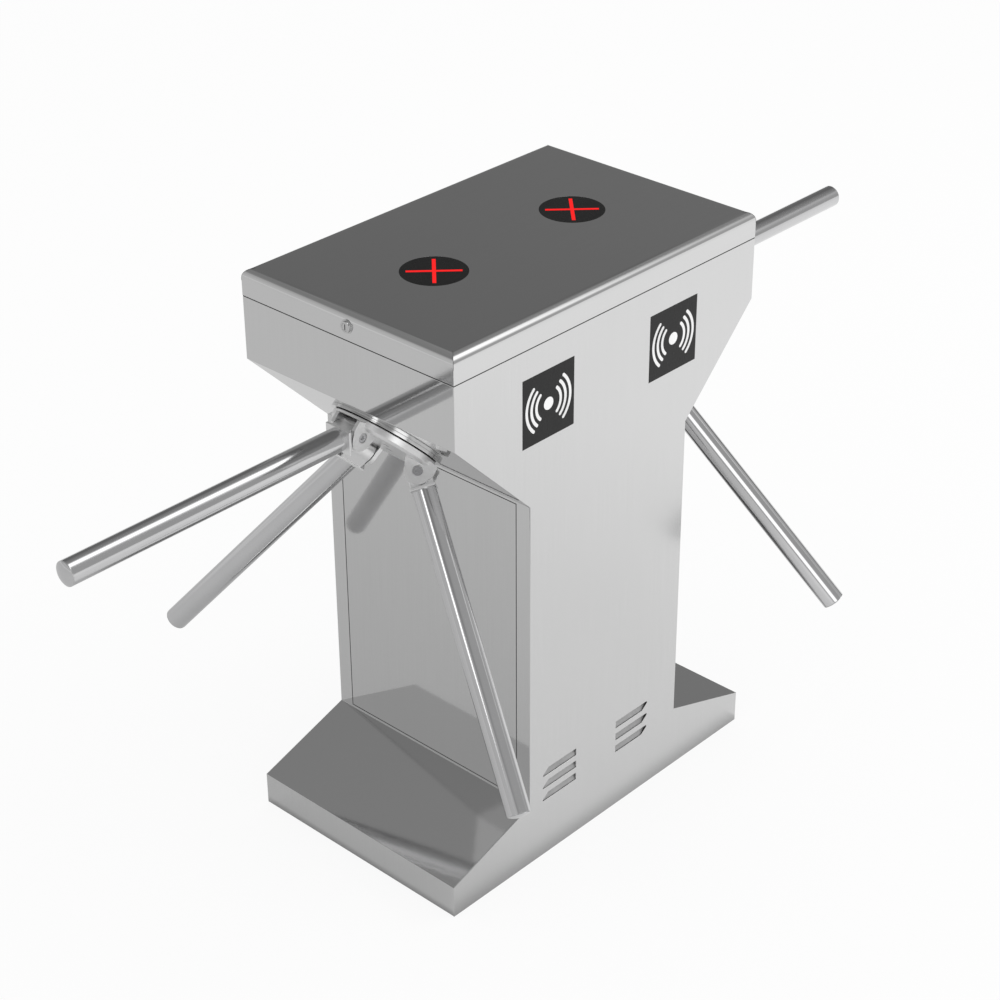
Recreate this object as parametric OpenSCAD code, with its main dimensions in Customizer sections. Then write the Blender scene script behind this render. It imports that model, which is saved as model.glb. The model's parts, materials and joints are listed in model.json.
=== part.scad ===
// Twin-lane tripod turnstile: a waisted cabinet with a tripod head on each of its two slanted faces.
// Millimetres. The origin is the centre of the floor face, +X runs along the cabinet, +Z is up.
// Each head is drawn in its own frame: z points out of the slanted face along the rotor's axis,
// x points up the face and y across it, with the origin on the face's outer surface.

/* [Cabinet] */
// Length of the head box along X
head_l = 680; // [670:1:720]
// Width of the cabinet along Y
body_w = 436; // [430:1:470]
// Height of the cabinet from the floor to the top of the lid
total_h = 980; // [970:1:1010]
// Height of the lid above its seam
lid_h = 44; // [42:1:50]
// Height of the head box's end wall below the lid seam
head_wall_h = 105; // [100:1:125]
// Horizontal run of the 45 degree faces under the head, which is also their drop
slant_run = 158; // [156:1:166]
// Height of the crease at the waist's foot
waist_low_z = 117; // [105:1:130]
// How far each foot reaches out beyond the waist
foot_run = 177; // [160:1:190]
// Height of a foot's end wall
foot_end_h = 58; // [50:1:70]
// Thickness of the cabinet's sheet steel
sheet = 2; // [1.5:0.1:2.5]
// Radius of the lid's top edges
lid_r = 15; // [12:0.5:18]
// Open seam between the lid and the cabinet
seam_gap = 1.6; // [0.8:0.1:2.4]

/* [Base plate] */
// Thickness of the base plate
base_t = 6; // [5:0.5:10]
// Anchor hole spacing along X
anchor_x = 280; // [240:1:300]
// Anchor hole spacing along Y
anchor_y = 340; // [300:1:360]
// Radius of the anchor holes, for M12 anchors
anchor_r = 7; // [6.5:0.5:8]
// Length of the cable opening along X
cable_l = 120; // [80:1:160]
// Width of the cable opening along Y
cable_w = 80; // [60:1:120]

/* [Access panels] */
// Bare strip of frame beside an access panel
panel_side = 28; // [26:1:32]
// Bare strip of frame above and below an access panel
panel_end = 4; // [4:0.5:8]
// Seam round an access panel
panel_gap = 1.6; // [0.8:0.1:2.4]
// Depth of the panel's stiffening rim
panel_rim = 10; // [8:1:14]
// Radius of the studs that hold an access panel
stud_r = 3; // [2.5:0.1:3.5]
// Length of those studs
stud_l = 14; // [12:1:18]
// Distance of the studs from the panel's top and bottom edges
stud_end = 40; // [30:1:60]

/* [Readers and indicators] */
// Side of a square reader window
window_w = 112; // [104:1:118]
// Distance of the reader windows' centres below the top of the lid
window_drop = 147; // [142:1:152]
// Distance of the reader windows' centres from the middle of the cabinet
window_x = 143; // [138:1:150]
// Thickness of a reader window's back plate
window_t = 3; // [2:0.5:4]
// How far the back plate laps the cut-out
window_lap = 8; // [6:1:10]
// Distance of the indicators' centres from the middle of the cabinet
indicator_x = 154; // [145:1:165]
// Radius of an indicator lens
indicator_r = 52; // [45:1:55]
// Width of the flange under an indicator lens
indicator_lap = 5; // [3:1:7]

/* [Louvres] */
// Length of a louvre slot
louvre_l = 80; // [60:1:84]
// Height of a louvre slot
louvre_h = 13; // [8:1:14]
// Vertical pitch of the louvre slots
louvre_pitch = 24.5; // [20:0.5:28]
// Number of slots in a group
louvre_n = 3; // [2:1:4]
// Height of the lowest slot's centre
louvre_z = 115.5; // [110:0.5:125]
// Centre of the group nearer the -X end
louvre_left_x = -110; // [-120:1:-100]
// Centre of the group nearer the +X end
louvre_right_x = 69; // [60:1:100]

/* [Tripod head] */
// Radius of the fixed flange on the slanted face
flange_r = 92; // [90:1:98]
// Thickness of that flange
flange_t = 5; // [4:0.5:7]
// Radius of the rotating hub
hub_r = 86; // [84:1:88]
// Thickness of the rotating hub's disc
hub_t = 14; // [13:0.5:18]
// Running gap between the flange and the hub
hub_gap = 1; // [0.8:0.1:1.5]
// Floor left under the arm roots in the hub's disc
hub_floor = 5; // [4:0.5:5.5]
// Distance of an arm's hinge pin from the rotor's axis
pivot_r = 72; // [70:1:74]
// Height of an arm's hinge pin above the slanted face
pivot_h = 31; // [31:0.5:34]
// Thickness of a hub lug
lug_t = 6; // [5:0.5:8]
// Radius of a lug's head round its hinge pin
lug_r = 21; // [20:0.5:23]
// How far a lug's outer side stands beyond its hinge pin
lug_side = 24; // [22:0.5:26]
// How far a lug's inner side stands back from its hinge pin
lug_back = 26; // [24:1:28]
// Radius of an arm's hinge pin
pin_r = 6; // [5:0.5:6.5]
// Radius of the recess round a hinge pin's head
pin_recess_r = 8; // [7.5:0.5:9]
// Depth of that recess
pin_recess = 2; // [1.5:0.1:2.5]

/* [Arms] */
// Outer radius of an arm's tube
arm_r = 19; // [17:0.5:19]
// Wall of an arm's tube
arm_wall = 1.5; // [1.2:0.1:2]
// Reach of an arm from its hinge pin to its end
arm_l = 531; // [480:1:560]
// Height of the dome on an arm's end
arm_dome = 5; // [3:0.5:8]
// Distance from an arm's hinge pin to the start of its tube
arm_root = 27; // [25:0.5:30]
// Thickness of the shoulder round the start of an arm's tube
shoulder_t = 4.5; // [3:0.5:6]

/* [Head mechanism] */
// Radius of the rotor's shaft
shaft_r = 15; // [12:0.5:15]
// Outer radius of a shaft bearing
bearing_r = 27.5; // [25:0.5:29]
// Width of a shaft bearing
bearing_w = 13; // [11:0.5:15]
// Thickness of the plate that carries the mechanism
carrier_t = 8; // [6:0.5:10]
// Width of that plate up the slope
carrier_w = 150; // [140:1:160]
// Length of the bearing housing between its two plates
housing_l = 66; // [60:1:76]
// Thickness of the housing's rear plate
rear_t = 6; // [5:0.5:8]
// Module of the damper's gear pair
gear_m = 2; // [2:0.1:2]
// Teeth of the drive gear on the shaft
gear_teeth = 48; // [48:1:48]
// Teeth of the damper's pinion
pinion_teeth = 16; // [16:1:16]
// Thickness of the gears
gear_t = 10; // [8:0.5:12]
// Radius of the ratchet wheel
ratchet_r = 45; // [44:0.5:46]
// Thickness of the ratchet wheel
ratchet_t = 8; // [7:0.5:10]
// Width of a notch in the ratchet wheel
notch_w = 10; // [9.6:0.1:11]
// Depth of a notch in the ratchet wheel
notch_d = 8; // [7:0.5:9]
// Radius of a pawl's post
post_r = 5; // [4:0.5:6]
// Turn that brings a pawl into its notch, in degrees
pawl_turn = 9; // [7:0.5:9]

/* [Hidden] */
$fn = 64;

// Clearances: a fit between pieces that stay together, a running fit, and a gap between loose neighbours
seat = 0.05;
run = 0.06;
loose = 0.4;
// Overlap that joins two shapes of one solid, and the overshoot of a cut
eps = 0.01;
cut = 1;

// Cabinet levels and half lengths
half_w = body_w / 2;
head_half = head_l / 2;
waist_half = head_half - slant_run;
foot_half = waist_half + foot_run;
seam_z = total_h - lid_h;
lid_z0 = seam_z + seam_gap / 2;
skin_z1 = seam_z - seam_gap / 2;
head_low_z = seam_z - head_wall_h;
waist_top_z = head_low_z - slant_run;
foot_angle = atan((waist_low_z - foot_end_h) / foot_run);
inner_w = half_w - sheet;
window_z = total_h - window_drop;

// Head frame
hub_x = head_half - slant_run / 2;
hub_z = head_low_z - slant_run / 2;
arm_angles = [0, 120, -120];

// Stack of the rotor along its axis, outwards positive
hub_z0 = flange_t + hub_gap;
hub_z1 = hub_z0 + hub_t;
shaft_flange_r = 33;
shaft_flange_t = 18;
carrier_z1 = hub_z0 - shaft_flange_t - 8;
carrier_z0 = carrier_z1 - carrier_t;
rear_z1 = carrier_z0 - housing_l;
rear_z0 = rear_z1 - rear_t;
gear_z1 = rear_z0 - 2;
gear_z0 = gear_z1 - gear_t;
ratchet_z1 = gear_z0 - 6;
ratchet_z0 = ratchet_z1 - ratchet_t;
shaft_z0 = ratchet_z0 - 10;
tongue_half = arm_r - 0.5;
lug_in = tongue_half + 0.5;
lug_out = lug_in + lug_t;
skin_bore = 60;
flange_bore = 40;

// Mechanism layout in the head frame
gear_r = gear_m * gear_teeth / 2;
pinion_r = gear_m * pinion_teeth / 2;
gear_span = gear_r + pinion_r;
pinion_tip = pinion_r + gear_m;
damper_r = 23;
damper_t = 24;
hub_screw_at = 24;
damper_shaft_r = 4;
housing_r = bearing_r + 8;
pawl_reach = 48;
pawl_rest = 2.5;
pawl_x = -pawl_reach;
pawl_y = ratchet_r + pawl_rest - pawl_reach * tan(pawl_turn / 2);
pawl_t = ratchet_t - 1;
pawl_z0 = ratchet_z0 + 0.5;
pawl_boss = post_r + 4;
nose_w = 6.4;
nose_l = 9;
tail_l = 24;
tail_w = 8;
plunger_x = pawl_x - tail_l;
plunger_r = 5;
plunger_tip_r = 2.4;
plunger_y = pawl_y - tail_w / 2 - loose;
solenoid_l = 30;
solenoid_y1 = plunger_y - 5.5;
solenoid_w = 24;
solenoid_h = 30;
rear_x0 = plunger_x - solenoid_w / 2 - 8;
rear_x1 = gear_r + gear_m + 16;
rear_y = gear_span + damper_r + 5;
index_r = housing_r + 7;
index_angle = -45;
spring_r = post_r + 3;

// Access panels, in the waist's end walls
panel_half = half_w - panel_side;
panel_z0 = waist_low_z + panel_end;
panel_z1 = waist_top_z - panel_end;
stud_y = panel_half - 10;
clip_t = 2;
clip_step = 4;

// Electronics panel and what stands on it
equip_gap = 26;
equip_half_x = 140;
equip_half_z = 210;
equip_post_x = 125;
equip_post_z = 190;
board_half_x = 95;
board_half_z = 70;
board_up = 110;
supply_down = 30;
supply_half_z = 49;
supply_left = 100;
supply_right = 60;
supply_end = 78;
supply_d = 42;
supply_end_d = 26;
relay_x = -80;
relay_w = 18;
relay_pitch = 28;
relay_d = 26;
relay_up = 34;
relay_top = 60;
plug_row_w = 32;
plug_row_pitch = 42;
plug_row_d = 20;
plug_row_up = 54;
plug_row_low = 66;
chip_half = 16;
chip_d = 12;
chip_low = 20;
chip_up = 12;
terminal_down = 150;
terminal_half_x = 110;
terminal_x = -90;
terminal_pitch = 15;
terminal_w = 13;
terminal_d = 46;
terminal_half_z = 22;
reader_half = 48;

// Louvre fins
fin_t = 1.8;
fin_run = 7;
fin_lap = 8;

// Lid lock and its keeper
lock_y = -7;
lock_z = lid_z0 + 22.2;
lock_r = 9;
lock_flange_r = 11;
plug_r = 6;
lock_in = 18;
lock_out = 4.5;
cam_t = 3;
cam_l = 24;
cam_w = 12;
rim_t = 3;
rim_inset = 2;
rim_low = 30;
rim_up = 7;
hinge_y = 130;
hinge_w = 60;
hinge_r = 5;
hinge_pin_r = 2.5;
hinge_x = head_half + hinge_r + 0.5;

// Outline of one end of the cabinet, drawn t inside the outer surface, from the seam to the floor
function end_line(t) = [
    [head_half - t, skin_z1],
    [head_half - t, head_low_z + t * tan(22.5)],
    [waist_half - t, waist_top_z + t * tan(22.5)],
    [waist_half - t, waist_low_z + t * tan(foot_angle) - t / cos(foot_angle)],
    [foot_half - t, foot_end_h + t * tan(foot_angle) - t / cos(foot_angle)],
    [foot_half - t, 0]
];
function flip(points) = [for (i = [len(points) - 1:-1:0]) points[i]];
function left_of(points) = [for (p = points) [-p[0], p[1]]];

// Polar point
function polar(r, a) = [r * cos(a), r * sin(a)];

// Involute of the base circle at roll angle t, in degrees
function involute(rb, t) = [rb * (cos(t) + t * PI / 180 * sin(t)), rb * (sin(t) - t * PI / 180 * cos(t))];
// Angle between a tooth's centre line and the start of its flank
function tooth_half(teeth, m, backlash) =
    let (rp = m * teeth / 2, rb = rp * cos(20))
    90 / teeth + (tan(20) * 180 / PI - 20) - backlash / rp * 90 / PI;
// One flank from the base circle to the tip, as polar pairs [radius, angle from the flank's start]
function flank(rb, tip) = [
    for (k = [0:3])
        let (roll = sqrt((tip / rb) * (tip / rb) - 1) * 180 / PI * k / 3, p = involute(rb, roll))
        [norm(p), atan2(p[1], p[0])]
];
function gear_points(teeth, m, backlash) =
    let (
        rp = m * teeth / 2,
        rb = rp * cos(20),
        root = rp - 1.25 * m,
        tip = rp + m,
        half = tooth_half(teeth, m, backlash),
        side = flank(rb, tip),
        low = min(root, rb)
    )
    [
        for (i = [0:teeth - 1])
            let (a = 360 * i / teeth)
            each concat(
                [polar(low, a - half)],
                [for (s = side) polar(max(s[0], low), a - half + s[1])],
                [for (s = flip(side)) polar(max(s[0], low), a + half - s[1])],
                [polar(low, a + half)]
            )
    ];

// Shared shapes

module left_head() {
    translate([-hub_x, 0, hub_z]) rotate([0, -135, 0]) children();
}

module right_head() {
    rotate([0, 0, 180]) left_head() children();
}

module both_heads() {
    left_head() children();
    right_head() children();
}

module both_ends() {
    children();
    rotate([0, 0, 180]) children();
}

module disc(r, z0, z1) {
    translate([0, 0, z0]) cylinder(r = r, h = z1 - z0);
}

module box(x, y, z) {
    translate([x[0], y[0], z[0]]) cube([x[1] - x[0], y[1] - y[0], z[1] - z[0]]);
}

// Rod along X, Y between two stations
module rod_x(r, x0, x1) {
    translate([x0, 0, 0]) rotate([0, 90, 0]) cylinder(r = r, h = x1 - x0);
}

module rod_y(r, y0, y1) {
    translate([0, y1, 0]) rotate([90, 0, 0]) cylinder(r = r, h = y1 - y0);
}

// Cabinet shell

module base_plate() {
    color("dimgray") difference() {
        box([-foot_half + sheet, foot_half - sheet], [-inner_w, inner_w], [0, base_t]);
        box([-cable_l / 2, cable_l / 2], [-cable_w / 2, cable_w / 2], [-cut, base_t + cut]);
        for (x = [-1, 1], y = [-1, 1])
            translate([x * anchor_x / 2, y * anchor_y / 2, 0]) disc(anchor_r, -cut, base_t + cut);
    }
}

module louvre_slot() {
    // one end is square, the other tapers to its top edge
    polygon([
        [0, 0], [0, louvre_h], [louvre_l, louvre_h], [louvre_l, louvre_h * 0.75], [louvre_l - louvre_h, 0]
    ]);
}

module louvre_group() {
    for (i = [0:louvre_n - 1])
        translate([-louvre_l / 2, louvre_z - louvre_h / 2 + i * louvre_pitch]) louvre_slot();
}

// Sheet pushed inwards above a slot's lower edge, open at its top behind the panel
module louvre_fins(x) {
    for (i = [0:louvre_n - 1])
        translate([x - louvre_l / 2 - fin_lap, 0, louvre_z - louvre_h / 2 + i * louvre_pitch])
            rotate([90, 0, 90]) linear_extrude(louvre_l + 2 * fin_lap) polygon([
                [-inner_w - eps, -0.3 - fin_t],
                [-inner_w - eps, -0.3],
                [-inner_w + fin_run, louvre_h + 2],
                [-inner_w + fin_run + fin_t, louvre_h + 1]
            ]);
}

module side_outline() {
    difference() {
        polygon(concat(end_line(0), flip(left_of(end_line(0)))));
        for (x = [-1, 1])
            translate([x * window_x - window_w / 2, window_z - window_w / 2]) square(window_w);
        translate([louvre_left_x, 2 * louvre_z + (louvre_n - 1) * louvre_pitch]) rotate(180) louvre_group();
        translate([louvre_right_x, 0]) louvre_group();
    }
}

module side_panel() {
    translate([0, -inner_w, 0]) rotate([90, 0, 0]) linear_extrude(sheet) side_outline();
    louvre_fins(louvre_left_x);
    louvre_fins(louvre_right_x);
}

module front_panel() {
    color("gainsboro") side_panel();
}

module rear_panel() {
    color("gainsboro") rotate([0, 0, 180]) side_panel();
}

module end_skin() {
    difference() {
        translate([0, inner_w, 0]) rotate([90, 0, 0]) linear_extrude(2 * inner_w)
            polygon(concat(left_of(end_line(0)), flip(left_of(end_line(sheet)))));
        box([-waist_half - cut, -waist_half + sheet + cut], [-panel_half, panel_half], [panel_z0, panel_z1]);
        left_head() disc(skin_bore, -sheet - cut, cut);
        left_head() flange_screw_places() disc(2.6, -sheet - cut, cut);
    }
}

module left_end_skin() {
    color("silver") end_skin();
}

module right_end_skin() {
    color("silver") rotate([0, 0, 180]) end_skin();
}

module ring_box(x, y, t, z0, z1) {
    difference() {
        box([-x, x], [-y, y], [z0, z1]);
        box([-x + t, x - t], [-y + t, y - t], [z0 - cut, z1 + cut]);
    }
}

module top_rim() {
    rim_x = head_half - sheet;
    keeper_x = -rim_x + rim_inset + rim_t - eps;
    color("darkgray") {
        ring_box(rim_x, inner_w, rim_t, skin_z1 - rim_low, skin_z1 - 2);
        ring_box(rim_x - rim_inset, inner_w - rim_inset, rim_t, skin_z1 - rim_low, seam_z + rim_up);
        // stops that carry the lid's free end
        for (s = [0, 1]) mirror([0, s, 0]) {
            box([-rim_x + 4, -rim_x + 27], [inner_w - 27, inner_w - 4], [seam_z - 6, seam_z - 2]);
            box([-rim_x + 17, -rim_x + 27], [inner_w - 27, inner_w - 17], [seam_z - 3, total_h - sheet - loose]);
        }
        // keeper that the lock's cam turns under
        translate([keeper_x, lock_y, 0]) {
            box([0, 18], [cam_l + 3, cam_l + 6], [seam_z - 6, lock_z + cam_w / 2 + 5]);
            box([6, 18], [cam_l / 2 + 2, cam_l + 6], [lock_z + cam_w / 2 + 2, lock_z + cam_w / 2 + 5]);
        }
    }
}

// Access panels

module access_panel() {
    y = panel_half - panel_gap;
    z0 = panel_z0 + panel_gap;
    z1 = panel_z1 - panel_gap;
    x = -waist_half;
    rim_y = stud_y - 8;
    difference() {
        union() {
            box([x, x + sheet], [-y, y], [z0, z1]);
            // stiffening rim, inside the studs
            difference() {
                box([x + eps, x + sheet + panel_rim], [-rim_y, rim_y], [z0 + 6, z1 - 6]);
                box([x, x + sheet + panel_rim + cut], [-rim_y + sheet, rim_y - sheet], [z0 + 6 + sheet, z1 - 6 - sheet]);
            }
            box([x, x + sheet], [-y, y], [z0, z1]);
            for (sy = [-1, 1], z = [z0 + stud_end, z1 - stud_end])
                translate([0, sy * stud_y, z]) rod_x(stud_r, x + eps, x + sheet + stud_l);
        }
    }
}

module left_access_panel() {
    color("darkgray") access_panel();
}

module right_access_panel() {
    color("darkgray") rotate([0, 0, 180]) access_panel();
}

module panel_clip() {
    // spring clip on the frame's strip, with a hole round the panel's stud
    x = -waist_half + sheet;
    difference() {
        union() {
            box([x, x + clip_step + clip_t], [panel_half + 2, panel_half + 16], [-9, 9]);
            box([x + clip_step, x + clip_step + clip_t], [stud_y - stud_r - 4, panel_half + 16], [-9, 9]);
        }
        translate([0, stud_y, 0]) rod_x(stud_r + run, x, x + clip_step + clip_t + cut);
    }
}

module panel_clips() {
    color("dimgray") both_ends()
        for (sy = [0, 1], z = [panel_z0 + panel_gap + stud_end, panel_z1 - panel_gap - stud_end])
            translate([0, 0, z]) mirror([0, sy, 0]) panel_clip();
}

// Readers and electronics

module reader_window() {
    side = window_w - 2 * seat;
    back = window_w + 2 * window_lap;
    box([-side / 2, side / 2], [-half_w, -inner_w + eps], [-side / 2, side / 2]);
    box([-back / 2, back / 2], [-inner_w, -inner_w + window_t], [-back / 2, back / 2]);
}

module window_places() {
    both_ends() for (x = [-1, 1]) translate([x * window_x, 0, window_z]) children();
}

module reader_windows() {
    color([0.09, 0.09, 0.09]) window_places() reader_window();
}

module reader_board() {
    y = -inner_w + window_t;
    box([-reader_half, reader_half], [y + 7, y + 8.6], [-reader_half, reader_half]);
    box([-14, 14], [y + 8.6 - eps, y + 12], [-14, 14]);
    for (x = [-1, 1], z = [-1, 1])
        translate([x * (reader_half - 6), 0, z * (reader_half - 6)]) rod_y(3, y, y + 7 + eps);
}

module reader_boards() {
    color("darkgreen") window_places() reader_board();
}

// Electronics in the waist, on a panel that stands off the rear wall
equip_y = inner_w - equip_gap;
equip_z = (panel_z0 + panel_z1) / 2;

module electronics_panel() {
    color("lightgray") {
        box([-equip_half_x, equip_half_x], [equip_y - 2, equip_y], [equip_z - equip_half_z, equip_z + equip_half_z]);
        for (x = [-equip_post_x, equip_post_x], z = [-equip_post_z, equip_post_z])
            translate([x, 0, equip_z + z]) rod_y(5, equip_y - eps, inner_w);
    }
}

module control_board() {
    y = equip_y - 2;
    z = equip_z + board_up;
    color("darkgreen") {
        box([-board_half_x, board_half_x], [y - 9.6, y - 8], [z - board_half_z, z + board_half_z]);
        for (sx = [-1, 1], sz = [-1, 1])
            translate([sx * (board_half_x - 7), 0, z + sz * (board_half_z - 7)]) rod_y(3, y - 8 - eps, y);
        // relays, terminals and the processor
        for (i = [0:5])
            translate([relay_x + i * relay_pitch, 0, 0])
                box([0, relay_w], [y - relay_d, y - 9.6 + eps], [z + relay_up, z + relay_top]);
        for (i = [0:3])
            translate([relay_x + i * plug_row_pitch, 0, 0])
                box([0, plug_row_w], [y - plug_row_d, y - 9.6 + eps], [z - plug_row_low, z - plug_row_up]);
        box([-chip_half, chip_half], [y - chip_d, y - 9.6 + eps], [z - chip_low, z + chip_up]);
    }
}

module power_supply() {
    y = equip_y - 2;
    z = equip_z - supply_down;
    color("silver") {
        box([-supply_left, supply_right], [y - supply_d, y], [z - supply_half_z, z + supply_half_z]);
        box([supply_right - eps, supply_end], [y - supply_end_d, y], [z - supply_half_z + 4, z + supply_half_z - 4]);
    }
}

module terminal_block() {
    y = equip_y - 2;
    z = equip_z - terminal_down;
    color("gray") {
        box([-terminal_half_x, terminal_half_x], [y - 7.5, y], [z - 17.5, z + 17.5]);
        for (i = [0:11])
            translate([terminal_x + i * terminal_pitch, 0, 0])
                box([0, terminal_w], [y - terminal_d, y - 7.5 + eps], [z - terminal_half_z, z + terminal_half_z]);
    }
}

// Lid

module lid_section(half, z1, r) {
    translate([-half, lid_z0]) square([2 * half, z1 - r - lid_z0]);
    translate([-half + r, lid_z0]) square([2 * (half - r), z1 - lid_z0]);
    for (x = [-1, 1]) translate([x * (half - r), z1 - r]) circle(r);
}

// Solid whose top edges are rounded along both directions and meet in mitres
module lid_solid(dx, dy, z1, r, down) {
    intersection() {
        translate([0, dy, -down]) rotate([90, 0, 0]) linear_extrude(2 * dy) lid_section(dx, z1 + down, r);
        translate([-dx, 0, -down]) rotate([90, 0, 90]) linear_extrude(2 * dx) lid_section(dy, z1 + down, r);
    }
}

module lid_knuckle() {
    difference() {
        union() {
            box([head_half - eps, head_half + 2], [-hinge_w / 6, hinge_w / 6], [lid_z0 + 4, lid_z0 + 24]);
            box([head_half, hinge_x], [-hinge_w / 6, hinge_w / 6], [seam_z + 1, lid_z0 + 7]);
            translate([hinge_x, 0, seam_z]) rod_y(hinge_r, -hinge_w / 6, hinge_w / 6);
        }
        translate([hinge_x, 0, seam_z]) rod_y(hinge_pin_r + run, -hinge_w, hinge_w);
        box([head_half - cut, head_half + loose], [-hinge_w, hinge_w], [seam_z - hinge_r - cut, lid_z0 - eps]);
    }
}

module lid() {
    color("dimgray") {
        difference() {
            lid_solid(head_half, half_w, total_h, lid_r, 0);
            lid_solid(head_half - sheet, inner_w, total_h - sheet, lid_r - sheet, cut);
            for (x = [-1, 1]) translate([x * indicator_x, 0, 0]) disc(indicator_r + seat, total_h - sheet - cut, total_h + cut);
            translate([0, lock_y, lock_z]) rod_x(lock_r + seat, -head_half - cut, -head_half + sheet + cut);
        }
        for (y = [-1, 1]) translate([0, y * hinge_y, 0]) lid_knuckle();
    }
}

module lid_hinge() {
    // fixed leaf on the end wall, two knuckles and the pin they hold
    difference() {
        union() {
            box([head_half, head_half + 2], [-hinge_w / 2, hinge_w / 2], [skin_z1 - 30, skin_z1 - 6]);
            for (s = [-1, 1])
                translate([0, s * hinge_w / 3, 0]) {
                    box([head_half, hinge_x], [-hinge_w / 6 + 0.2, hinge_w / 6 - 0.2], [skin_z1 - 10, seam_z - 1]);
                    translate([hinge_x, 0, seam_z]) rod_y(hinge_r, -hinge_w / 6 + 0.2, hinge_w / 6 - 0.2);
                }
        }
        box([head_half - cut, head_half + loose], [-hinge_w, hinge_w], [skin_z1 + eps, seam_z + hinge_r + cut]);
    }
    translate([hinge_x, 0, seam_z]) rod_y(hinge_pin_r, -hinge_w / 2, hinge_w / 2);
}

module lid_hinges() {
    color("gray") for (y = [-1, 1]) translate([0, y * hinge_y, 0]) lid_hinge();
}

module indicator_lens() {
    disc(indicator_r, total_h - sheet - eps, total_h);
    disc(indicator_r + indicator_lap, total_h - sheet - 3, total_h - sheet);
}

module indicator_lenses() {
    color([0.1, 0.1, 0.1]) for (x = [-1, 1]) translate([x * indicator_x, 0, 0]) indicator_lens();
}

module indicator_board() {
    z = total_h - sheet - 3;
    disc(indicator_r - 2, z - 9.6, z - 8);
    for (a = [0:90:270]) rotate([0, 0, a]) translate([indicator_r - 8, 0, 0]) disc(3, z - 8 - eps, z);
    // lamps in a cross at 45 degrees to the lid's edges
    for (a = [45:90:315], i = [1:5])
        rotate([0, 0, a]) translate([i * 7.5, 0, 0]) box([-2.5, 2.5], [-2.5, 2.5], [z - 8 - eps, z - 6]);
    box([-2.5, 2.5], [-2.5, 2.5], [z - 8 - eps, z - 6]);
}

module indicator_boards() {
    color("darkgreen") for (x = [-1, 1]) translate([x * indicator_x, 0, 0]) indicator_board();
}

module lid_lock_body() {
    color("silver") translate([0, lock_y, lock_z]) difference() {
        union() {
            rod_x(lock_flange_r, -head_half - 1, -head_half);
            rod_x(lock_r, -head_half - lock_out, -head_half + lock_in);
        }
        rod_x(plug_r + run, -head_half - lock_out - cut, -head_half + lock_in + cut);
    }
}

module lid_lock_plug() {
    x = -head_half - lock_out + 0.4;
    cam_x = -head_half + lock_in + loose;
    color("gray") translate([0, lock_y, lock_z]) difference() {
        union() {
            rod_x(plug_r, x, cam_x + cam_t + 2);
            rod_x(plug_r + 1.5, cam_x, cam_x + cam_t);
            box([cam_x, cam_x + cam_t], [-cam_w / 2, cam_w / 2], [-cam_l, 0]);
        }
        box([x - cut, x + 7], [-0.9, 0.9], [-4.4, 4.4]);
    }
}

// Fixed parts of a head

module flange_screw_places() {
    for (a = [45:90:315]) rotate([0, 0, a]) translate([skin_bore + 8, 0, 0]) children();
}

module hub_flanges() {
    color("silver") both_heads() difference() {
        disc(flange_r, 0, flange_t);
        disc(flange_bore, -cut, flange_t + cut);
        flange_screw_places() disc(2.6, -cut, flange_t + cut);
        flange_screw_places() disc(4.8, flange_t - 2.6, flange_t + cut);
    }
}

module flange_screw() {
    difference() {
        union() {
            disc(4.7, flange_t - 2.6, flange_t);
            disc(2.5, -sheet - 6, flange_t - 2);
        }
        translate([0, 0, flange_t - 1.6]) cylinder(r = 1.7, h = 3, $fn = 6);
    }
    // nut behind the sheet
    difference() {
        translate([0, 0, -sheet - 4]) cylinder(r = 4.6, h = 4, $fn = 6);
        disc(2.3, -sheet - 5, -sheet + cut);
    }
}

module flange_screws() {
    color("dimgray") both_heads() flange_screw_places() flange_screw();
}

module carrier_plates() {
    color("lightgray") both_heads() difference() {
        box([-carrier_w / 2, carrier_w / 2], [-inner_w, inner_w], [carrier_z0, carrier_z1]);
        disc(bearing_r - 7, carrier_z0 - cut, carrier_z1 + cut);
    }
}

module bearing_housing() {
    difference() {
        union() {
            disc(housing_r + 16, carrier_z0 - 8, carrier_z0);
            disc(housing_r, rear_z0, carrier_z0);
            box([rear_x0, rear_x1], [-rear_y, rear_y], [rear_z0, rear_z1]);
        }
        disc(bearing_r - 5, rear_z0 - cut, carrier_z0 + cut);
        disc(bearing_r + seat, carrier_z0 - bearing_w, carrier_z0 + cut);
        disc(bearing_r + seat, rear_z0 - cut, rear_z0 + bearing_w);
        translate([0, gear_span, 0]) disc(damper_shaft_r + 3, rear_z0 - cut, rear_z1 + cut);
        rotate([0, 0, index_angle]) translate([index_r, 0, 0]) disc(4 + seat, rear_z0 - cut, rear_z1 + cut);
    }
}

module bearing_housings() {
    color("slategray") both_heads() bearing_housing();
}

module bearing(z0) {
    difference() {
        disc(bearing_r, z0, z0 + bearing_w);
        disc(shaft_r + run, z0 - cut, z0 + bearing_w + cut);
        // groove between the two rings, on both faces
        for (z = [z0 - cut, z0 + bearing_w - 1])
            difference() {
                disc(bearing_r - 3, z, z + 1 + cut);
                disc(shaft_r + 3.5, z - cut, z + 2 + cut);
            }
    }
}

module bearings() {
    color("silver") both_heads() {
        bearing(carrier_z0 - bearing_w);
        bearing(rear_z0);
    }
}

module damper() {
    translate([0, gear_span, 0]) difference() {
        union() {
            disc(damper_r, rear_z1, rear_z1 + damper_t);
            box([-damper_r - 5, damper_r + 5], [-8, 8], [rear_z1, rear_z1 + 4]);
        }
        disc(damper_shaft_r + run, rear_z1 - cut, rear_z1 + 12);
    }
}

module dampers() {
    color("black") both_heads() damper();
}

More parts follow.
